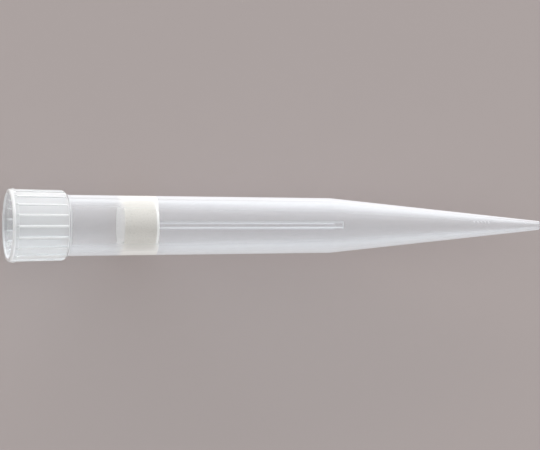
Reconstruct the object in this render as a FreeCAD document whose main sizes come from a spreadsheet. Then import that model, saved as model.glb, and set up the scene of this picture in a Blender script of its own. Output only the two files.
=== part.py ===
"""Filter pipette tip, 1000 microlitre size, as a parametric FreeCAD document.

Two pieces: the moulded polypropylene tip, and the porous plug that its barrel holds. The tip lies along
X. Its mouth faces -X, its point faces +X, and the origin is on its axis, where the nozzle seat begins.
"""

import FreeCAD, Part
import os
import Sketcher

from FreeCAD import Placement, Rotation, Vector

# Driving dimensions, in millimetres and degrees. Places along the tip are counted from the plane of its
# mouth, and rolls about its axis from +Y towards +Z.
SIZES = {
    # outside of the barrel and the cone
    "overall_length": 78.5,
    "barrel_diameter": 8.83,
    "barrel_end_diameter": 7.92,
    "shoulder_place": 47.3,
    "point_diameter": 1.28,
    "point_round": 0.1,
    # collar, which stands over the barrel and widens towards the lip
    "collar_length": 8.55,
    "collar_step": 0.525,
    "collar_flare": 0.18,
    "collar_chamfer": 0.5,
    "neck_round": 0.9,
    "lip_length": 0.9,
    "lip_step": 0.18,
    "lip_round": 0.3,
    # ridges along the collar, with a flat between each two, and over the back of the lip
    "ridge_count": 19,
    "ridge_width": 0.36,
    "ridge_height": 0.14,
    "ridge_place": 0.5,
    # hollow
    "mouth_wall": 0.6,
    "mouth_round": 0.1,
    "lead_in_length": 1.6,
    "seat_bore": 8.1,
    "seat_relief_length": 2.7,
    "barrel_wall": 0.55,
    "hollow_past_shoulder": 1.4,
    "hollow_end_wall": 0.42,
    "orifice_diameter": 0.72,
    # stop ribs inside the barrel, with sloping flanks
    "rib_count": 4,
    "rib_width": 1.06,
    "rib_crest_width": 0.5,
    "rib_height": 0.42,
    "rib_end_height": 0.36,
    "rib_root": 0.12,
    "rib_roll": 87,
    # filter plug
    "plug_place": 16.5,
    "plug_length": 5.1,
    "plug_clearance": 0.02,
    "plug_round": 0.12,
    # row of raised pips near the point
    "pip_count": 5,
    "pip_radius": 0.19,
    "pip_height": 0.07,
    "pip_pitch": 0.55,
    "pip_to_point": 10.1,
    "pip_roll": 72,
}


def radius_between(place, start, end):
    """The radius at a place on the straight line from start to end, each a place and a radius."""
    (start_place, start_radius), (end_place, end_radius) = start, end
    slope = f"(({end_radius}) - ({start_radius})) / (({end_place}) - ({start_place}))"
    return f"({start_radius}) + (({place}) - ({start_place})) * {slope}"


# What follows from the driving dimensions, as expressions on the sheet.
COLLAR_END_RADIUS = "(sizes.barrel_diameter / 2 + sizes.collar_step)"
COLLAR_RADIUS = f"({COLLAR_END_RADIUS} + sizes.collar_flare)"
LIP_RADIUS = f"({COLLAR_RADIUS} + sizes.lip_step)"
MOUTH_RADIUS = f"({LIP_RADIUS} - sizes.mouth_wall)"
CLEAR_OF_COLLAR = f"(2 * {LIP_RADIUS})"
FLAT_SHARE = "cos(180 deg / sizes.ridge_count)"
CHAMFER_PLACE = "sizes.collar_length - sizes.collar_chamfer"
SEAT_END_PLACE = "sizes.collar_length - sizes.seat_relief_length"
PLUG_END_PLACE = "sizes.plug_place + sizes.plug_length"
SHOULDER = ("sizes.shoulder_place", "sizes.barrel_end_diameter / 2")
POINT = ("sizes.overall_length", "sizes.point_diameter / 2")
HOLLOW_TOP = ("sizes.collar_length", "sizes.barrel_diameter / 2 - sizes.barrel_wall")
HOLLOW_END_PLACE = "sizes.shoulder_place + sizes.hollow_past_shoulder"
HOLLOW_END = (
    HOLLOW_END_PLACE,
    radius_between(HOLLOW_END_PLACE, SHOULDER, POINT) + " - sizes.hollow_end_wall",
)
HOLLOW_RADIUS_AT_PLUG = radius_between("sizes.plug_place", HOLLOW_TOP, HOLLOW_END)
HOLLOW_RADIUS_AT_PLUG_END = radius_between(PLUG_END_PLACE, HOLLOW_TOP, HOLLOW_END)

doc = FreeCAD.newDocument("filter_tip")
sizes = doc.addObject("Spreadsheet::Sheet", "sizes")
for row, (alias, value) in enumerate(SIZES.items(), start=1):
    sizes.set(f"A{row}", alias)
    sizes.set(f"B{row}", str(value))
    sizes.setAlias(f"B{row}", alias)
doc.recompute()


def value_of(expression):
    """The number that an expression on the sheet comes to."""
    return float(sizes.evalExpression(expression))


def new_body(label):
    """An empty body whose own X = 0 is the mouth, placed so that the seat begins at the origin."""
    body = doc.addObject("PartDesign::Body", label)
    body.Label = label
    body.setExpression("Placement.Base.x", "-sizes.lead_in_length")
    return body


def origin_part(body, role):
    return next(part for part in body.Origin.OriginFeatures if part.Role == role)


def new_sketch(body, name, plane):
    sketch = body.newObject("Sketcher::SketchObject", name)
    sketch.AttachmentSupport = [(origin_part(body, plane), "")]
    sketch.MapMode = "FlatFace"
    return sketch


def pin_point(sketch, geometry, vertex, x, y):
    """Hold one point of a sketch at x and y from its origin, both expressions on the sheet."""
    for kind, axis, expression in (("DistanceX", -2, x), ("DistanceY", -1, y)):
        if expression == "0":
            sketch.addConstraint(Sketcher.Constraint("PointOnObject", geometry, vertex, axis))
            continue
        distance = Sketcher.Constraint(kind, -1, 1, geometry, vertex, value_of(expression))
        sketch.setExpression(f"Constraints[{sketch.addConstraint(distance)}]", expression)


def draw_outline(sketch, corners):
    """A closed run of straight lines through corners, each a pair of expressions on the sheet."""
    points = [Vector(value_of(x), value_of(y), 0) for x, y in corners]
    for start, end in zip(points, points[1:] + points[:1]):
        sketch.addGeometry(Part.LineSegment(start, end), False)
    for line in range(len(corners)):
        following = (line + 1) % len(corners)
        sketch.addConstraint(Sketcher.Constraint("Coincident", line, 2, following, 1))
    for line, (x, y) in enumerate(corners):
        pin_point(sketch, line, 1, x, y)


def turn_profile(body, kind, name, corners):
    """A Revolution or Groove of an outline about the tip's axis."""
    sketch = new_sketch(body, f"{name}_profile", "XZ_Plane")
    draw_outline(sketch, corners)
    feature = body.newObject(f"PartDesign::{kind}", name)
    feature.Profile = sketch
    feature.ReferenceAxis = (sketch, ["H_Axis"])
    feature.Angle = 360
    doc.recompute()
    return feature


def repeat_round_axis(body, feature, count):
    """The feature repeated evenly about the tip's axis."""
    pattern = body.newObject("PartDesign::PolarPattern", f"{feature.Name}_pattern")
    pattern.Originals = [feature]
    pattern.Axis = (origin_part(body, "X_Axis"), [""])
    pattern.Angle = 360
    pattern.setExpression("Occurrences", count)
    body.Tip = pattern
    doc.recompute()


def round_edges(body, name, radius, rims):
    """Fillet the circular edges that lie at the given places and radii."""
    base = body.Tip
    near = 0.0001
    edges = []
    for place, rim_radius in ((value_of(x), value_of(r)) for x, r in rims):
        for number, edge in enumerate(base.Shape.Edges, start=1):
            if not isinstance(edge.Curve, Part.Circle):
                continue
            off_place = abs(edge.Curve.Center.x - place)
            off_radius = abs(edge.Curve.Radius - rim_radius)
            if off_place < near and off_radius < near:
                edges.append(f"Edge{number}")
    fillet = body.newObject("PartDesign::Fillet", name)
    fillet.Base = (base, edges)
    fillet.setExpression("Radius", radius)
    doc.recompute()


def make_outer_form(body):
    """The solid outer form: lip, collar, barrel and cone, turned in one."""
    turn_profile(body, "Revolution", "outer_form", [
        ("0", "0"),
        ("0", LIP_RADIUS),
        ("sizes.lip_length", LIP_RADIUS),
        ("sizes.lip_length", COLLAR_RADIUS),
        ("sizes.collar_length", COLLAR_END_RADIUS),
        ("sizes.collar_length", "sizes.barrel_diameter / 2"),
        SHOULDER,
        POINT,
        ("sizes.overall_length", "0"),
    ])


def make_flats(body):
    """Flats around the collar, as many as it has ridges, with one facing straight down."""
    profile = new_sketch(body, "flat_profile", "XZ_Plane")
    draw_outline(profile, [
        ("sizes.lip_length", f"-{COLLAR_RADIUS} * {FLAT_SHARE}"),
        ("sizes.collar_length", f"-{COLLAR_END_RADIUS} * {FLAT_SHARE}"),
        ("sizes.collar_length", f"-{CLEAR_OF_COLLAR}"),
        ("sizes.lip_length", f"-{CLEAR_OF_COLLAR}"),
    ])
    flat = body.newObject("PartDesign::Pocket", "flat")
    flat.Profile = profile
    flat.SideType = "Symmetric"
    flat.setExpression("Length", f"2 * {COLLAR_RADIUS} * tan(180 deg / sizes.ridge_count)")
    doc.recompute()
    repeat_round_axis(body, flat, "sizes.ridge_count")


def make_ridges(body, name, start, end, start_radius, end_radius):
    """Rounded ridges on the corners between the flats, over the surface from one place to another."""
    profile = new_sketch(body, f"{name}_profile", "YZ_Plane")
    profile.setExpression("AttachmentOffset.Base.z", start)
    height = f"{start_radius} + sizes.ridge_height - sizes.ridge_width / 2"
    centre = Vector(0, value_of(height), 0)
    circle = Part.Circle(centre, Vector(0, 0, 1), value_of("sizes.ridge_width / 2"))
    profile.addGeometry(circle, False)
    pin_point(profile, 0, 3, "0", height)
    width = Sketcher.Constraint("Diameter", 0, value_of("sizes.ridge_width"))
    profile.setExpression(f"Constraints[{profile.addConstraint(width)}]", "sizes.ridge_width")
    ridge = body.newObject("PartDesign::Pad", name)
    ridge.Profile = profile
    ridge.UseCustomVector = True
    ridge.AlongSketchNormal = True
    ridge.Direction = Vector(1, 0, 0)
    ridge.setExpression("Direction.x", f"{end} - ({start})")
    ridge.setExpression("Direction.z", f"{end_radius} - {start_radius}")
    ridge.setExpression("Length", f"{end} - ({start})")
    doc.recompute()
    repeat_round_axis(body, ridge, "sizes.ridge_count")


def make_collar_chamfer(body):
    """The collar's lower end, cut back to the barrel through flats and ridges alike."""
    turn_profile(body, "Groove", "collar_chamfer", [
        (CHAMFER_PLACE, CLEAR_OF_COLLAR),
        (CHAMFER_PLACE, f"{COLLAR_END_RADIUS} + sizes.ridge_height"),
        ("sizes.collar_length", "sizes.barrel_diameter / 2"),
        ("sizes.collar_length", CLEAR_OF_COLLAR),
    ])


def make_hollow(body):
    """The hollow: lead-in, nozzle seat, barrel and cone, open at both ends."""
    turn_profile(body, "Groove", "hollow", [
        ("0", "0"),
        ("0", MOUTH_RADIUS),
        ("sizes.lead_in_length", "sizes.seat_bore / 2"),
        (SEAT_END_PLACE, "sizes.seat_bore / 2"),
        HOLLOW_TOP,
        HOLLOW_END,
        ("sizes.overall_length", "sizes.orifice_diameter / 2"),
        ("sizes.overall_length", "0"),
    ])


def make_stop_ribs(body):
    """Low ribs inside the barrel, from the plug's lower face to the end of the barrel's hollow."""
    profile = new_sketch(body, "rib_profile", "YZ_Plane")
    profile.setExpression("AttachmentOffset.Base.z", PLUG_END_PLACE)
    roll = "sizes.rib_roll - 90"
    profile.AttachmentOffset.Rotation = Rotation(Vector(0, 0, 1), value_of(roll))
    profile.setExpression("AttachmentOffset.Rotation.Angle", roll)
    crest = f"{HOLLOW_RADIUS_AT_PLUG_END} - sizes.rib_height"
    root = f"{HOLLOW_RADIUS_AT_PLUG_END} + sizes.rib_root"
    flare = "(sizes.rib_width - sizes.rib_crest_width) / 2 / sizes.rib_height"
    root_half = f"sizes.rib_width / 2 + sizes.rib_root * {flare}"
    draw_outline(profile, [
        ("-sizes.rib_crest_width / 2", crest),
        ("sizes.rib_crest_width / 2", crest),
        (root_half, root),
        (f"-({root_half})", root),
    ])
    rib = body.newObject("PartDesign::Pad", "rib")
    rib.Profile = profile
    rib.UseCustomVector = True
    rib.AlongSketchNormal = True
    rib.Direction = Vector(1, 0, 0)
    length = f"({HOLLOW_END_PLACE}) - ({PLUG_END_PLACE})"
    rise = f"(({HOLLOW_END[1]}) - sizes.rib_end_height - ({crest}))"
    rib.setExpression("Direction.x", length)
    rib.setExpression("Direction.y", f"{rise} * cos(sizes.rib_roll * 1 deg)")
    rib.setExpression("Direction.z", f"{rise} * sin(sizes.rib_roll * 1 deg)")
    rib.setExpression("Length", length)
    doc.recompute()
    repeat_round_axis(body, rib, "sizes.rib_count")


def make_pips(body):
    """A row of tiny domes along the cone."""
    for number in range(int(value_of("sizes.pip_count"))):
        place = f"sizes.overall_length - sizes.pip_to_point + {number} * sizes.pip_pitch"
        reach = f"({radius_between(place, SHOULDER, POINT)} + sizes.pip_height - sizes.pip_radius)"
        pip = body.newObject("PartDesign::AdditiveSphere", f"pip_{number}")
        pip.setExpression("Radius", "sizes.pip_radius")
        pip.setExpression("Placement.Base.x", place)
        pip.setExpression("Placement.Base.y", f"{reach} * cos(sizes.pip_roll * 1 deg)")
        pip.setExpression("Placement.Base.z", f"{reach} * sin(sizes.pip_roll * 1 deg)")
        doc.recompute()


def make_tip_body():
    """The moulded tip, in one piece."""
    body = new_body("tip_body")
    make_outer_form(body)
    round_edges(body, "lip_round", "sizes.lip_round", [("0", LIP_RADIUS)])
    make_flats(body)
    make_ridges(
        body, "lip_ridge", "sizes.ridge_place", "sizes.lip_length", LIP_RADIUS, LIP_RADIUS
    )
    make_ridges(
        body, "ridge", "sizes.lip_length", "sizes.collar_length", COLLAR_RADIUS, COLLAR_END_RADIUS
    )
    make_collar_chamfer(body)
    make_hollow(body)
    make_stop_ribs(body)
    round_edges(body, "mouth_round", "sizes.mouth_round", [("0", MOUTH_RADIUS)])
    round_edges(body, "neck_round", "sizes.neck_round", [
        ("sizes.collar_length", "sizes.barrel_diameter / 2"),
    ])
    round_edges(body, "point_round", "sizes.point_round", [POINT])
    make_pips(body)
    return body


def make_filter_plug():
    """The porous plug, which fills the barrel and rests on the ends of the stop ribs."""
    body = new_body("filter_plug")
    start = ("sizes.plug_place", f"{HOLLOW_RADIUS_AT_PLUG} - sizes.plug_clearance")
    end = (PLUG_END_PLACE, f"{HOLLOW_RADIUS_AT_PLUG_END} - sizes.plug_clearance")
    turn_profile(body, "Revolution", "plug_form", [
        ("sizes.plug_place", "0"),
        start,
        end,
        (PLUG_END_PLACE, "0"),
    ])
    round_edges(body, "plug_round", "sizes.plug_round", [start, end])
    return body


pieces = [make_tip_body(), make_filter_plug()]
doc.recompute()

for item in doc.Objects:
    if {"Invalid", "Error"} & set(item.State):
        raise RuntimeError(f"{item.Label} failed: {item.State}")
for piece in pieces:
    if piece.Shape.isNull() or not piece.Shape.isValid() or len(piece.Shape.Solids) != 1:
        raise RuntimeError(f"{piece.Label} is not one valid solid")

os.makedirs("parts", exist_ok=True)
for piece in pieces:
    piece.Shape.exportStep(f"parts/{piece.Label}.step")
    print(f"{piece.Label}: {piece.Shape.Volume:.1f} mm3")
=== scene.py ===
"""A filter pipette tip of the 1000 microlitre size, lying on its side: the moulded tip and its plug."""

import collections
import math

import bpy
from mathutils import Matrix, Vector


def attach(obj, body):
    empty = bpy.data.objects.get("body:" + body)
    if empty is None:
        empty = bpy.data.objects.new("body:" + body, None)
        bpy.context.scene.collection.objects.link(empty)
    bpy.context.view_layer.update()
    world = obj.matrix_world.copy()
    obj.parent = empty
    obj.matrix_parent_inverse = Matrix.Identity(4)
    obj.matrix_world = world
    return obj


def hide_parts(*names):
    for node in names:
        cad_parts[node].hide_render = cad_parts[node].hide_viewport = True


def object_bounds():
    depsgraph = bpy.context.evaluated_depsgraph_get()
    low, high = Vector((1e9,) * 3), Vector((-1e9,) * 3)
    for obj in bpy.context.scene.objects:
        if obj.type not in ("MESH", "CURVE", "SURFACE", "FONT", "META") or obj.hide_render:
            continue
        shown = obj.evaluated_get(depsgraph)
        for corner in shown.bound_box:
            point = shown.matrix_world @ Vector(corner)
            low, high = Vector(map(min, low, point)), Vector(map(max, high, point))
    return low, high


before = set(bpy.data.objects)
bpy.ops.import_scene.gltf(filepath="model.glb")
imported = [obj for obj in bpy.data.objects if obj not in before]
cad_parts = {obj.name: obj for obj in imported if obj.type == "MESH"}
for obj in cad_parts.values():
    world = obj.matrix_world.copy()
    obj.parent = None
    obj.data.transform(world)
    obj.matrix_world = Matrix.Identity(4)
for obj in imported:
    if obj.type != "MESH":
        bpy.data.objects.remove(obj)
cad_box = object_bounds()
bpy.ops.object.select_all(action="DESELECT")

# The tip's outside. The tip is one thin-walled shot of natural polypropylene: lip, collar, barrel and
# cone in one. It is drawn out ring by ring as two skins, which are joined at the mouth and the point.
# Places are counted from the plane of the mouth, and all sizes are in metres.
MM = 0.001
MOUTH = cad_box[0].x
LENGTH = cad_box[1].x - cad_box[0].x
EDGE = 0.03 * MM  # the small round that every moulded corner has
LIP_RADIUS, LIP_ROUND, LIP_END = 5.3 * MM, 0.3 * MM, 0.9 * MM
RIM_WIDTH = 5 * EDGE  # the flat ring between the lip's outer round and the hollow
COLLAR_RADIUS, COLLAR_END_RADIUS = 5.12 * MM, 4.94 * MM  # over the corners between its flats
CHAMFER, CHAMFER_FOOT, CHAMFER_FOOT_RADIUS = 8.05 * MM, 8.2 * MM, 4.88 * MM
COLLAR_END = 8.55 * MM
NECK_ROUND, NECK_PLACE, NECK_RADIUS = 0.9 * MM, 9.0 * MM, 4.41 * MM  # the hollow round onto the barrel
NECK_ANGLES = 217, 269.3
BARREL_RADIUS, SHOULDER, SHOULDER_RADIUS = 4.415 * MM, 47.3 * MM, 3.96 * MM
BARREL_RINGS = (12, 16, 21, 26, 31, 36, 41, 45, 47)  # in mm: extra rings keep the long walls' faces short
CONE_RINGS = (47.6, 51, 55, 59, 63, 67, 71, 75)
POINT_RADIUS, POINT_ROUND = 0.64 * MM, 0.1 * MM


def ring_on(place, start, end):
    """The ring at a place on the straight line from one ring to another, each a place and a radius."""
    return place, start[1] + (place - start[0]) * (end[1] - start[1]) / (end[0] - start[0])


def arc(place, radius, size, first, last, steps):
    """Rings round an arc: its centre's place and radius, its size, and its angles from +X outwards."""
    angles = [math.radians(first + (last - first) * step / steps) for step in range(steps + 1)]
    return [(place + size * math.cos(angle), radius + size * math.sin(angle)) for angle in angles]


def turn_skin(name, columns, rings):
    """A skin of revolution: a circle with a point at each column's angle, drawn out ring by ring."""
    bpy.ops.mesh.primitive_circle_add(vertices=len(columns))
    skin = bpy.context.object
    skin.name = skin.data.name = name
    place, radius = rings[0]
    for vertex, column in zip(skin.data.vertices, columns):
        vertex.co = (MOUTH + place, radius * math.cos(column), radius * math.sin(column))
    bpy.ops.object.mode_set(mode="EDIT")
    bpy.ops.mesh.select_all(action="SELECT")
    for (last_place, last_radius), (place, radius) in zip(rings, rings[1:]):
        share = radius / last_radius
        bpy.ops.mesh.extrude_region_move(TRANSFORM_OT_translate={"value": (place - last_place, 0, 0)})
        bpy.ops.transform.resize(value=(1, share, share), center_override=(MOUTH + place, 0, 0))
    bpy.ops.object.mode_set(mode="OBJECT")
    return skin


def draw_lines(skin, angle, period, first, last, share):
    """Scale about the axis the lines of points at an angle and each period from it, between two places."""
    near = math.radians(0.05)
    bpy.ops.object.mode_set(mode="EDIT")
    bpy.ops.mesh.select_all(action="DESELECT")
    bpy.ops.object.mode_set(mode="OBJECT")
    for vertex in skin.data.vertices:
        away = (math.atan2(vertex.co.z, vertex.co.y) - angle + period / 2) % period - period / 2
        vertex.select = abs(away) < near and first <= vertex.co.x - MOUTH <= last
    bpy.ops.object.mode_set(mode="EDIT")
    bpy.ops.transform.resize(value=(1, share, share), center_override=(0, 0, 0))
    bpy.ops.object.mode_set(mode="OBJECT")


RIDGES = 19  # ridges round the collar, each on a corner between two flats
RIDGE_HALF, RIDGE_HEIGHT = 0.18 * MM, 0.135 * MM
RIDGE_STEPS = (-85, -60, -30, 0, 30, 60, 85)  # degrees round a ridge's own section
RIDGE_START = 0.5 * MM
FLAT_POINTS = 5
sector = math.tau / RIDGES
first_ridge = math.radians(270) - sector / 2  # so that one flat faces straight down
collar_middle = (COLLAR_RADIUS + COLLAR_END_RADIUS) / 2
ridge_angles = [RIDGE_HALF * math.sin(math.radians(step)) / collar_middle for step in RIDGE_STEPS]
flat_width = sector - 2 * ridge_angles[-1]
flat_angles = [
    ridge_angles[-1] + flat_width * (number + 1) / (FLAT_POINTS + 1) for number in range(FLAT_POINTS)
]
columns = [
    first_ridge + sector * number + angle
    for number in range(RIDGES) for angle in ridge_angles + flat_angles
]
collar = (LIP_END, COLLAR_RADIUS), (COLLAR_END, COLLAR_END_RADIUS)
barrel = (COLLAR_END, BARREL_RADIUS), (SHOULDER, SHOULDER_RADIUS)
cone = barrel[1], (LENGTH, POINT_RADIUS)
lip_corner = LIP_RADIUS - LIP_ROUND
outer_rings = [
    (0, lip_corner - RIM_WIDTH),
    *arc(LIP_ROUND, lip_corner, LIP_ROUND, 180, 90, 6),
    (RIDGE_START - EDGE, LIP_RADIUS),
    (RIDGE_START, LIP_RADIUS),
    (LIP_END - EDGE, LIP_RADIUS),
    (LIP_END - EDGE / 5, LIP_RADIUS - EDGE),
    (LIP_END + EDGE / 5, COLLAR_RADIUS + EDGE),
    ring_on(LIP_END + EDGE, *collar),
    ring_on(CHAMFER, *collar),
    (CHAMFER_FOOT, CHAMFER_FOOT_RADIUS),
    *arc(NECK_PLACE, NECK_RADIUS + NECK_ROUND, NECK_ROUND, *NECK_ANGLES, 5),
    *(ring_on(place * MM, *barrel) for place in BARREL_RINGS),
    (SHOULDER, SHOULDER_RADIUS - EDGE / 3),
    *(ring_on(place * MM, *cone) for place in CONE_RINGS),
    *arc(LENGTH - POINT_ROUND, POINT_RADIUS - POINT_ROUND, POINT_ROUND, 84, 0, 4),
]
outer_skin = turn_skin("tip", columns, outer_rings)
for step, angle in zip(RIDGE_STEPS, ridge_angles):
    height = RIDGE_HEIGHT - RIDGE_HALF * (1 - math.cos(math.radians(step)))
    for radius, start, end in (
        (LIP_RADIUS, RIDGE_START, LIP_END), (collar_middle, LIP_END, CHAMFER + EDGE)
    ):
        share = (radius + height) / radius / math.cos(angle)
        draw_lines(outer_skin, first_ridge + angle, sector, start, end, share)
for angle in flat_angles:
    share = math.cos(sector / 2) / math.cos(angle - sector / 2)
    draw_lines(outer_skin, first_ridge + angle, sector, LIP_END, CHAMFER + EDGE, share)

# The tip's inside. A tapered steel core leaves the hollow: a lead-in, the nozzle seat, and then barrel
# and cone down to the orifice. Four grooves in the core leave the ribs that stop the filter plug.
MOUTH_RADIUS, MOUTH_ROUND = 4.7 * MM, 0.1 * MM
SEAT, SEAT_END, SEAT_RADIUS = 1.6 * MM, 5.85 * MM, 4.05 * MM
HOLLOW_RADIUS, HOLLOW_END, HOLLOW_END_RADIUS = 3.865 * MM, 48.7 * MM, 3.391 * MM
SEAT_EASE = 10 * EDGE  # how far the rings beside the seat's and the collar's ends stand from them
ORIFICE_RADIUS = 0.36 * MM
RIBS, RIB_ROLL, RIB_START = 4, 87, 21.6 * MM
CREST_SHARE = 0.888  # of the hollow's radius, where a rib's crest lies
CREST_ANGLES = (-4.7, -4.2, -3, -1.5, 0, 1.5, 3, 4.2, 4.7)
FOOT_ANGLE, CLEAR_ANGLE = 8.4, 8.9
UPPER_RINGS, LOWER_RINGS = (9, 12, 16), (26, 31, 36, 41, 45)
CORE_RINGS = (49.2, 54, 58, 62, 66, 70, 74, 77.5)
quarter = 360 / RIBS
clear_points = len(columns) // RIBS - len(CREST_ANGLES) - 2
clear_step = (quarter - 2 * CLEAR_ANGLE) / (clear_points - 1)
rib_angles = [
    -FOOT_ANGLE, *CREST_ANGLES, FOOT_ANGLE, *(CLEAR_ANGLE + clear_step * n for n in range(clear_points))
]
inner_columns = [
    math.radians(RIB_ROLL + quarter * number + angle) for number in range(RIBS) for angle in rib_angles
]
hollow = (COLLAR_END, HOLLOW_RADIUS), (HOLLOW_END, HOLLOW_END_RADIUS)
core = hollow[1], (LENGTH, ORIFICE_RADIUS)
relief = (SEAT_END, SEAT_RADIUS), hollow[0]
lead_in = (MOUTH_ROUND, MOUTH_RADIUS), (SEAT, SEAT_RADIUS)
inner_rings = [
    *arc(MOUTH_ROUND, MOUTH_RADIUS + MOUTH_ROUND, MOUTH_ROUND, 180, 262, 4),
    ring_on(0.9 * SEAT, *lead_in),
    (SEAT + EDGE, SEAT_RADIUS + EDGE / 2),
    (SEAT + 6 * EDGE, SEAT_RADIUS),
    (SEAT_END - SEAT_EASE, SEAT_RADIUS),
    ring_on(SEAT_END + SEAT_EASE, *relief),
    ring_on(COLLAR_END - SEAT_EASE, *relief),
    *(ring_on(place * MM, *hollow) for place in UPPER_RINGS),
    ring_on(RIB_START, *hollow),
    ring_on(RIB_START + EDGE, *hollow),
    *(ring_on(place * MM, *hollow) for place in LOWER_RINGS),
    ring_on(HOLLOW_END - EDGE, *hollow),
    hollow[1],
    *(ring_on(place * MM, *core) for place in CORE_RINGS),
    ring_on(LENGTH - EDGE, *core),
    (LENGTH, ORIFICE_RADIUS + EDGE),
]
inner_skin = turn_skin("tip_inside", inner_columns, inner_rings)
for angle in CREST_ANGLES:
    turned = math.radians(angle)
    draw_lines(
        inner_skin, math.radians(RIB_ROLL) + turned, math.radians(quarter),
        RIB_START + EDGE / 2, HOLLOW_END - EDGE / 2, CREST_SHARE / math.cos(turned),
    )
bpy.ops.object.mode_set(mode="EDIT")
bpy.ops.mesh.select_all(action="SELECT")
bpy.ops.mesh.flip_normals()
bpy.ops.object.mode_set(mode="OBJECT")

# The whole moulding. Outside and inside are one wall of the same plastic, with no seam between them.
# The rim of the mouth joins them at one end, and the small flat face round the orifice at the other.
bpy.ops.object.select_all(action="DESELECT")
outer_skin.select_set(True)
inner_skin.select_set(True)
bpy.context.view_layer.objects.active = outer_skin
bpy.ops.object.join()
tip = bpy.context.object
for end in (0, LENGTH):
    bpy.ops.object.mode_set(mode="EDIT")
    bpy.ops.mesh.select_all(action="DESELECT")
    bpy.ops.object.mode_set(mode="OBJECT")
    used = collections.Counter(key for face in tip.data.polygons for key in face.edge_keys)
    for edge in tip.data.edges:
        places = [tip.data.vertices[corner].co.x - MOUTH for corner in edge.vertices]
        edge.select = used[edge.key] == 1 and all(abs(place - end) < EDGE / 10 for place in places)
    bpy.ops.object.mode_set(mode="EDIT")
    bpy.ops.mesh.bridge_edge_loops()
    bpy.ops.object.mode_set(mode="OBJECT")
bpy.ops.object.mode_set(mode="EDIT")
bpy.ops.mesh.select_all(action="SELECT")
bpy.ops.mesh.normals_make_consistent(inside=False)
bpy.ops.object.mode_set(mode="OBJECT")

# The row of pips on the cone, near the point. They are five shallow domes of the same polypropylene,
# which dimples in the mould's wall leave on the cone as it is moulded.
PIPS, PIP_PITCH, PIP_START = 5, 0.55 * MM, LENGTH - 10.1 * MM
PIP_ROLL = math.radians(72)
PIP_RADIUS, PIP_HEIGHT = 0.19 * MM, 0.07 * MM
SMOOTH_UP_TO = math.radians(35)  # edges that turn by more than this stay crisp
bpy.ops.object.select_all(action="DESELECT")
domes = []
for number in range(PIPS):
    place, radius = ring_on(PIP_START + number * PIP_PITCH, *cone)
    reach = radius + PIP_HEIGHT - PIP_RADIUS
    bpy.ops.mesh.primitive_uv_sphere_add(
        segments=20, ring_count=12, radius=PIP_RADIUS,
        location=(MOUTH + place, reach * math.cos(PIP_ROLL), reach * math.sin(PIP_ROLL)),
    )
    domes.append(bpy.context.object)
for dome in domes:
    dome.select_set(True)
bpy.ops.object.join()
pips = bpy.context.object
bpy.ops.object.transform_apply(location=True)
bpy.context.view_layer.objects.active = tip
union = tip.modifiers.new("pips", "BOOLEAN")
union.operation, union.solver, union.object = "UNION", "EXACT", pips
bpy.ops.object.modifier_apply(modifier=union.name)
bpy.data.objects.remove(pips)
tip.select_set(True)
bpy.ops.object.shade_smooth_by_angle(angle=SMOOTH_UP_TO)
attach(tip, "root")
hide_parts("tip_body")

# Natural polypropylene, injection moulded. Polished mould steel leaves the collar glassy and colourless,
# and a blasted core and cavity leave the barrel and cone a cool milky white that still shows the plug.
# Seen aslant, the wall is longer to look through, so both whiten towards the tip's outline.
# The ridges' crests and the lip's outer edge are turned milky white as painted highlights, where the lamps'
# light catches them.
SMOOTH = {"interpolation_type": "SMOOTHSTEP"}
PLUG_LENGTH = 5.1 * MM  # the plug grips this length of wall, up to where the ribs start
FROST_FADE = 0.4 * MM  # either side of the collar's end, where polish turns into frost
LIP_HIGHLIGHT_END = 0.35 * MM  # the lip's outer edge is made milky white up to here, a painted highlight
GRIP_FADE_OUT, GRIP_FADE_IN = 0.9 * MM, 0.3 * MM  # the plug's white fades out towards the mouth
HIGHLIGHT_FOOT, HIGHLIGHT_TOP = 0.6 * RIDGE_HEIGHT, 0.95 * RIDGE_HEIGHT  # between these a crest turns milky white, a painted highlight along each ridge
POLISHED_TINT, FROSTED_TINT, GRIPPED_TINT = "#F5F6F7", "#E9EAED", "#F7F6F3"
POLISHED_ROUGH, FROSTED_ROUGH = 0.08, 0.5
BORE_CLEAR, BORE_CLEAR_ASLANT = 0.83, 0.75  # share of the light that polished plastic passes
COLLAR_CLEAR, COLLAR_CLEAR_ASLANT = 0.6, 0.14
FROST_CLEAR = 0.1
CREST_HIGHLIGHT_CLEAR, LIP_HIGHLIGHT_CLEAR = 0.25, 0.45  # share of that clearness left on the crests and the lip's outer edge, which turn milky white as painted highlights
COLLAR_EDGE_POWER, SHOULDER_EDGE_POWER = 3.2, 2.2  # the white edges widen towards the shoulder
EDGE_GAIN, GRIPPED_EDGE_GAIN = 3.5, 6.5  # the wall magnifies the plug, so its white fills the tip's width
MILKY_CLEAR, STREAK_CLEAR = 0.8, 0.76
PIT = MM / 7  # real pits are about 0.02 mm across: too fine to show, so they are drawn at 0.14 mm
PIT_DEPTH, PIT_STRENGTH = 0.02 * MM, 0.25
STREAK, STREAK_STRETCH = MM / 0.9, 0.05  # real flow lines are finer: drawn 1.1 mm apart to show
STREAK_FROM, STREAK_FULL = 0.35, 0.65
PLASTIC_INDEX = 1.49
GLOSS_LEVEL, GLOSS_TINT = 0.3, "#959595"  # frost spreads the wall's gloss thin, so little of it shows
SHADOW_TINT = "#EDF1F3"  # lamp light passes the thin wall and leaves a faint, cool shadow


def linear(colour):
    """An sRGB hex colour as the linear RGBA that shaders read."""
    channels = [int(colour[i:i + 2], 16) / 255 for i in (1, 3, 5)]
    return [c / 12.92 if c <= 0.04045 else ((c + 0.055) / 1.055) ** 2.4 for c in channels] + [1.0]


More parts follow.
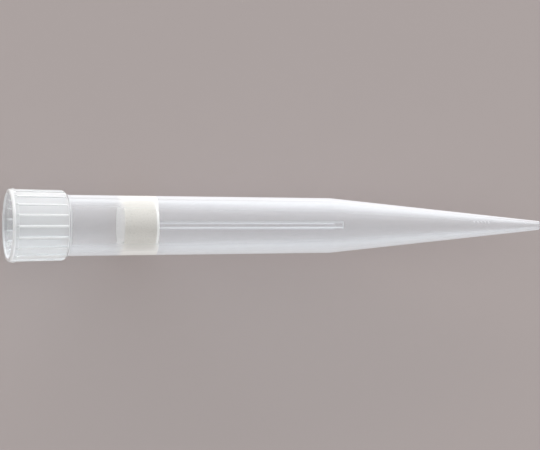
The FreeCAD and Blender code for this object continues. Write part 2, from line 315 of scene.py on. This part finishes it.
def add_node(tree, kind, settings=None, **links):
    """A node of a kind, with its settings, and its inputs given values or linked to other nodes' outputs."""
    node = tree.nodes.new(f"ShaderNode{kind}")
    for name, value in (settings or {}).items():
        setattr(node, name, value)
    for name, value in links.items():
        socket = node.inputs[int(name[1:]) if name[1:].isdigit() else name.replace("_", " ")]
        if isinstance(value, bpy.types.NodeSocket):
            tree.links.new(value, socket)
        else:
            socket.default_value = value
    return node


plastic = bpy.data.materials.new("natural_polypropylene")
plastic.use_nodes = True
tree = plastic.node_tree
tree.nodes.clear()
place = add_node(tree, "TexCoord").outputs["Object"]
along = add_node(tree, "SeparateXYZ", i0=place).outputs["X"]
across = add_node(tree, "VectorMath", {"operation": "MULTIPLY"}, i0=place, i1=(0, 1, 1)).outputs[0]
radius = add_node(tree, "VectorMath", {"operation": "LENGTH"}, i0=across).outputs["Value"]
outside = add_node(
    tree, "MapRange", i0=radius, i1=MOUTH_RADIUS, i2=MOUTH_RADIUS + 2 * EDGE, i3=0.0, i4=1.0,
).outputs[0]
frost = add_node(
    tree, "MapRange", SMOOTH,
    i0=along, i1=MOUTH + COLLAR_END - FROST_FADE, i2=MOUTH + COLLAR_END + FROST_FADE, i3=0.0, i4=1.0,
).outputs[0]
flats = add_node(
    tree, "MapRange", i0=along, i1=MOUTH + LIP_END, i2=MOUTH + COLLAR_END,
    i3=COLLAR_RADIUS, i4=COLLAR_END_RADIUS,
).outputs[0]
past_lip = add_node(tree, "Math", {"operation": "GREATER_THAN"}, i0=along, i1=MOUTH + LIP_END).outputs[0]
flats = add_node(tree, "Mix", i0=past_lip, i2=LIP_RADIUS, i3=flats).outputs[0]
proud = add_node(tree, "Math", {"operation": "SUBTRACT"}, i0=radius, i1=flats).outputs[0]
# Painted highlight: the ridges' crests lose their clearness and turn milky white.
crest_highlight = add_node(
    tree, "MapRange", SMOOTH, i0=proud, i1=HIGHLIGHT_FOOT, i2=HIGHLIGHT_TOP, i3=1.0, i4=CREST_HIGHLIGHT_CLEAR,
).outputs[0]
roughness = add_node(tree, "MapRange", i0=frost, i3=POLISHED_ROUGH, i4=FROSTED_ROUGH).outputs[0]
past_grip = add_node(
    tree, "MapRange", SMOOTH, i0=along,
    i1=MOUTH + RIB_START - PLUG_LENGTH - GRIP_FADE_OUT, i2=MOUTH + RIB_START - PLUG_LENGTH + GRIP_FADE_IN,
).outputs[0]
grip = add_node(
    tree, "MapRange", SMOOTH,
    i0=along, i1=MOUTH + RIB_START - EDGE, i2=MOUTH + RIB_START + EDGE, i3=past_grip, i4=0.0,
).outputs[0]
turned = add_node(tree, "LayerWeight", i0=0.5).outputs["Facing"]
power = add_node(
    tree, "MapRange", i0=along, i1=MOUTH + COLLAR_END, i2=MOUTH + SHOULDER,
    i3=COLLAR_EDGE_POWER, i4=SHOULDER_EDGE_POWER,
).outputs[0]
steep = add_node(tree, "Math", {"operation": "POWER"}, i0=turned, i1=power).outputs[0]
gain = add_node(tree, "MapRange", i0=grip, i3=EDGE_GAIN, i4=GRIPPED_EDGE_GAIN).outputs[0]
aslant = add_node(tree, "Math", {"operation": "MULTIPLY", "use_clamp": True}, i0=steep, i1=gain).outputs[0]
polished_facing = add_node(tree, "MapRange", i0=outside, i3=BORE_CLEAR, i4=COLLAR_CLEAR).outputs[0]
polished_aslant = add_node(
    tree, "MapRange", i0=outside, i3=BORE_CLEAR_ASLANT, i4=COLLAR_CLEAR_ASLANT,
).outputs[0]
clear_facing = add_node(tree, "MapRange", i0=frost, i3=polished_facing, i4=FROST_CLEAR).outputs[0]
clear_aslant = add_node(tree, "MapRange", i0=frost, i3=polished_aslant, i4=FROST_CLEAR).outputs[0]
glassy = add_node(tree, "MapRange", i0=aslant, i3=clear_facing, i4=clear_aslant).outputs[0]
glassy = add_node(tree, "Math", {"operation": "MULTIPLY"}, i0=glassy, i1=crest_highlight).outputs[0]
# Painted highlight: the lip's outer round and rim turn milky white near the mouth.
lip_highlight = add_node(
    tree, "MapRange", SMOOTH, i0=along, i1=MOUTH + LIP_HIGHLIGHT_END, i2=MOUTH + RIDGE_START, i3=1.0, i4=0.0,
).outputs[0]
outer_lip_highlight = add_node(tree, "Math", {"operation": "MULTIPLY"}, i0=lip_highlight, i1=outside).outputs[0]
lip_clear = add_node(tree, "MapRange", i0=outer_lip_highlight, i3=1.0, i4=LIP_HIGHLIGHT_CLEAR).outputs[0]
glassy = add_node(tree, "Math", {"operation": "MULTIPLY"}, i0=glassy, i1=lip_clear).outputs[0]
colour = add_node(
    tree, "Mix", {"data_type": "RGBA"}, i0=frost, i6=linear(POLISHED_TINT), i7=linear(FROSTED_TINT),
).outputs[2]
colour = add_node(
    tree, "Mix", {"data_type": "RGBA"}, i0=grip, i6=colour, i7=linear(GRIPPED_TINT),
).outputs[2]
pits = add_node(tree, "TexNoise", Vector=place, Scale=1 / PIT, Detail=1.0).outputs[0]
depth = add_node(tree, "MapRange", i0=frost, i3=0.0, i4=PIT_STRENGTH).outputs[0]
grain = add_node(tree, "Bump", Height=pits, Strength=depth, Distance=PIT_DEPTH).outputs[0]
body = add_node(
    tree, "BsdfPrincipled", i0=colour, Roughness=roughness, IOR=PLASTIC_INDEX, Transmission_Weight=glassy,
    Specular_IOR_Level=GLOSS_LEVEL, Specular_Tint=linear(GLOSS_TINT), Normal=grain,
)
flow = add_node(
    tree, "VectorMath", {"operation": "MULTIPLY"}, i0=place, i1=(STREAK_STRETCH, 1, 1),
).outputs[0]
streaks = add_node(tree, "TexNoise", Vector=flow, Scale=1 / STREAK, Detail=2.0).outputs[0]
milky = add_node(
    tree, "MapRange", i0=streaks, i1=STREAK_FROM, i2=STREAK_FULL, i3=MILKY_CLEAR, i4=STREAK_CLEAR,
).outputs[0]
thin = add_node(tree, "MapRange", i0=frost, i3=0.0, i4=milky).outputs[0]
clear = add_node(tree, "MapRange", i0=aslant, i3=thin, i4=0.0).outputs[0]
unbent = add_node(tree, "BsdfTransparent", i0=linear("#FFFFFF"))
wall = add_node(tree, "MixShader", i0=clear, i1=body.outputs[0], i2=unbent.outputs[0])
lamp_ray = add_node(tree, "LightPath").outputs["Is Shadow Ray"]
through = add_node(tree, "BsdfTransparent", i0=linear(SHADOW_TINT))
mix = add_node(tree, "MixShader", i0=lamp_ray, i1=wall.outputs[0], i2=through.outputs[0])
add_node(tree, "OutputMaterial", Surface=mix.outputs[0])
tip.data.materials.append(plastic)

# The filter plug. A disc of sintered polyethylene beads, cut a little too wide and pressed into the barrel
# down to the ribs' ends, so the wall grips it all round. Both its rims are slightly rounded.
PLUG_START, PLUG_ROUND = RIB_START - PLUG_LENGTH, 0.12 * MM
PLUG_COLUMNS, PLUG_ROUND_STEPS = 360, 4
GRIP = 0.012 * MM  # how far the plug is pressed into the wall
_, start_radius = ring_on(PLUG_START, *hollow)
plug_end = PLUG_START + PLUG_LENGTH
_, end_radius = ring_on(plug_end, *hollow)
start_corner = start_radius + GRIP - PLUG_ROUND
end_corner = end_radius + GRIP - PLUG_ROUND
plug_rings = [
    *arc(PLUG_START + PLUG_ROUND, start_corner, PLUG_ROUND, 180, 90, PLUG_ROUND_STEPS),
    *arc(plug_end - PLUG_ROUND, end_corner, PLUG_ROUND, 90, 0, PLUG_ROUND_STEPS),
]
bpy.ops.object.select_all(action="DESELECT")
plug = turn_skin("plug", [math.tau * number / PLUG_COLUMNS for number in range(PLUG_COLUMNS)], plug_rings)
bpy.ops.object.mode_set(mode="EDIT")
bpy.ops.mesh.edge_face_add()
bpy.ops.mesh.select_all(action="DESELECT")
bpy.ops.mesh.select_non_manifold()
bpy.ops.mesh.edge_face_add()
bpy.ops.mesh.select_all(action="SELECT")
bpy.ops.mesh.normals_make_consistent(inside=False)
bpy.ops.object.mode_set(mode="OBJECT")
bpy.ops.object.shade_smooth_by_angle(angle=SMOOTH_UP_TO)
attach(plug, "root")
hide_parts("filter_plug")

# Sintered polyethylene. Beads fused at their touching points scatter all light, so it is a matt, slightly
# warm white, darker in the pores between the beads. The cut face towards the mouth is a little lighter,
# and a white line is painted along the far rim where it meets the wall and the ribs: a painted highlight.
BEAD = MM / 6  # real beads are about 0.1 mm across: drawn at 0.17 mm so that they show
BEAD_DEPTH, BEAD_STRENGTH = 0.02 * MM, 0.15
PORE_START, PORE_END = 0.5, 0.9  # share of the way from a bead's middle, where a pore's grey comes in
BEAD_WHITE, PORE_GREY, CUT_WHITE, RIM_HIGHLIGHT_WHITE = "#D8D5D0", "#C8C5BF", "#EDEAE6", "#FFFFFF"
RIM_HIGHLIGHT_FROM, RIM_HIGHLIGHT_FULL = 0.3 * MM, 0.2 * MM  # where the painted highlight's white comes in, ahead of the far rim's round
sintered = bpy.data.materials.new("sintered_polyethylene")
sintered.use_nodes = True
tree = sintered.node_tree
tree.nodes.clear()
place = add_node(tree, "TexCoord").outputs["Object"]
along = add_node(tree, "SeparateXYZ", i0=place).outputs["X"]
cut_face = add_node(
    tree, "MapRange", i0=along, i1=MOUTH + PLUG_START, i2=MOUTH + PLUG_START + PLUG_ROUND, i3=1.0, i4=0.0,
).outputs[0]
rim = MOUTH + plug_end - PLUG_ROUND
# Painted highlight: a white line along the plug's far rim.
rim_highlight = add_node(
    tree, "MapRange", SMOOTH, i0=along, i1=rim - RIM_HIGHLIGHT_FROM, i2=rim - RIM_HIGHLIGHT_FULL,
).outputs[0]
beads = add_node(tree, "TexVoronoi", Vector=place, Scale=1 / BEAD).outputs["Distance"]
pores = add_node(tree, "MapRange", i0=beads, i1=PORE_START, i2=PORE_END, i3=0.0, i4=1.0).outputs[0]
grained = add_node(
    tree, "Mix", {"data_type": "RGBA"}, i0=pores, i6=linear(BEAD_WHITE), i7=linear(PORE_GREY),
).outputs[2]
grained = add_node(
    tree, "Mix", {"data_type": "RGBA"}, i0=cut_face, i6=grained, i7=linear(CUT_WHITE),
).outputs[2]
colour = add_node(
    tree, "Mix", {"data_type": "RGBA"}, i0=rim_highlight, i6=grained, i7=linear(RIM_HIGHLIGHT_WHITE),
).outputs[2]
bump = add_node(tree, "Bump", Height=beads, Strength=BEAD_STRENGTH, Distance=BEAD_DEPTH).outputs[0]
body = add_node(tree, "BsdfPrincipled", i0=colour, Roughness=0.85, Normal=bump)
add_node(tree, "OutputMaterial", Surface=body.outputs[0])
plug.data.materials.append(sintered)

# The floor. A plain sheet of matt, warm grey paper that the tip lies on, wide enough to reach past the
# view on every side. It isn't part of the object.
FLOOR_SIZE, FLOOR_GREY = 6.0, "#B9AFAD"
bpy.ops.mesh.primitive_plane_add(size=FLOOR_SIZE, location=(0, 0, cad_box[0].z))
floor = bpy.context.object
floor.name = "floor"
bpy.ops.object.transform_apply(location=True)
paper = bpy.data.materials.new("grey_paper")
paper.use_nodes = True
tree = paper.node_tree
tree.nodes.clear()
body = add_node(tree, "BsdfPrincipled", i0=linear(FLOOR_GREY), Roughness=0.9, Specular_IOR_Level=0.0)
add_node(tree, "OutputMaterial", Surface=body.outputs[0])
floor.data.materials.append(paper)

# Light. Two long soft lamps stand low and far off, one on each long side of the tip, and the one behind
# is the stronger. With an even sky they whiten the tip's edges and leave its middle clear.
TIP_MIDDLE = Vector((0.0369, 0, 0))
LAMP_DISTANCE, LAMP_WIDTH, LAMP_HEIGHT = 2.2, 3.3, 0.73
BACK_ELEVATION, BACK_POWER = 8, 49  # degrees up from +Y, and watts
FRONT_ELEVATION, FRONT_POWER = 174, 15
SKY_STRENGTH = 0.715


def soft_lamp(name, elevation, power):
    """A rectangular lamp across from the tip, at an elevation seen from +Y, facing the tip's middle."""
    data = bpy.data.lights.new(name, "AREA")
    data.shape = "RECTANGLE"
    data.size, data.size_y = LAMP_WIDTH, LAMP_HEIGHT
    data.energy = power
    lamp = bpy.data.objects.new(name, data)
    angle = math.radians(elevation)
    towards = Vector((0, math.cos(angle), math.sin(angle)))
    lamp.location = TIP_MIDDLE + towards * LAMP_DISTANCE
    lamp.rotation_euler = towards.to_track_quat("Z", "Y").to_euler()
    bpy.context.scene.collection.objects.link(lamp)


soft_lamp("back_lamp", BACK_ELEVATION, BACK_POWER)
soft_lamp("front_lamp", FRONT_ELEVATION, FRONT_POWER)
world = bpy.data.worlds.new("sky")
bpy.context.scene.world = world
world.use_nodes = True
tree = world.node_tree
tree.nodes.clear()
sky = add_node(tree, "Background", i0=linear("#FFFFFF"), i1=SKY_STRENGTH)
add_node(tree, "OutputWorld", Surface=sky.outputs[0])

# Camera. A long lens looks almost straight down on the tip, so that it lies level across the frame, and
# is turned a little towards the mouth, so that the opening shows as a narrow ellipse.
ELEVATION = 91.6
TOWARDS_MOUTH = 11.0
DISTANCE = 1.15
AIM = Vector((0.03691, 0.00007, 0))
LENS = 528.8
CLIP_START, CLIP_END = 0.1, 20
turn, rise = math.radians(TOWARDS_MOUTH), math.radians(ELEVATION)
back = Vector((-math.sin(turn), -math.cos(turn) * math.cos(rise), math.cos(turn) * math.sin(rise)))
right = (Vector((1, 0, 0)) - back * back.x).normalized()
up = back.cross(right)
camera = bpy.data.objects.new("camera", bpy.data.cameras.new("camera"))
camera.matrix_world = Matrix((right, up, back)).transposed().to_4x4()
camera.location = AIM + back * DISTANCE
camera.data.lens = LENS
camera.data.clip_start, camera.data.clip_end = CLIP_START, CLIP_END
bpy.context.scene.collection.objects.link(camera)
bpy.context.scene.camera = camera
bpy.context.scene.view_settings.view_transform = "Standard"
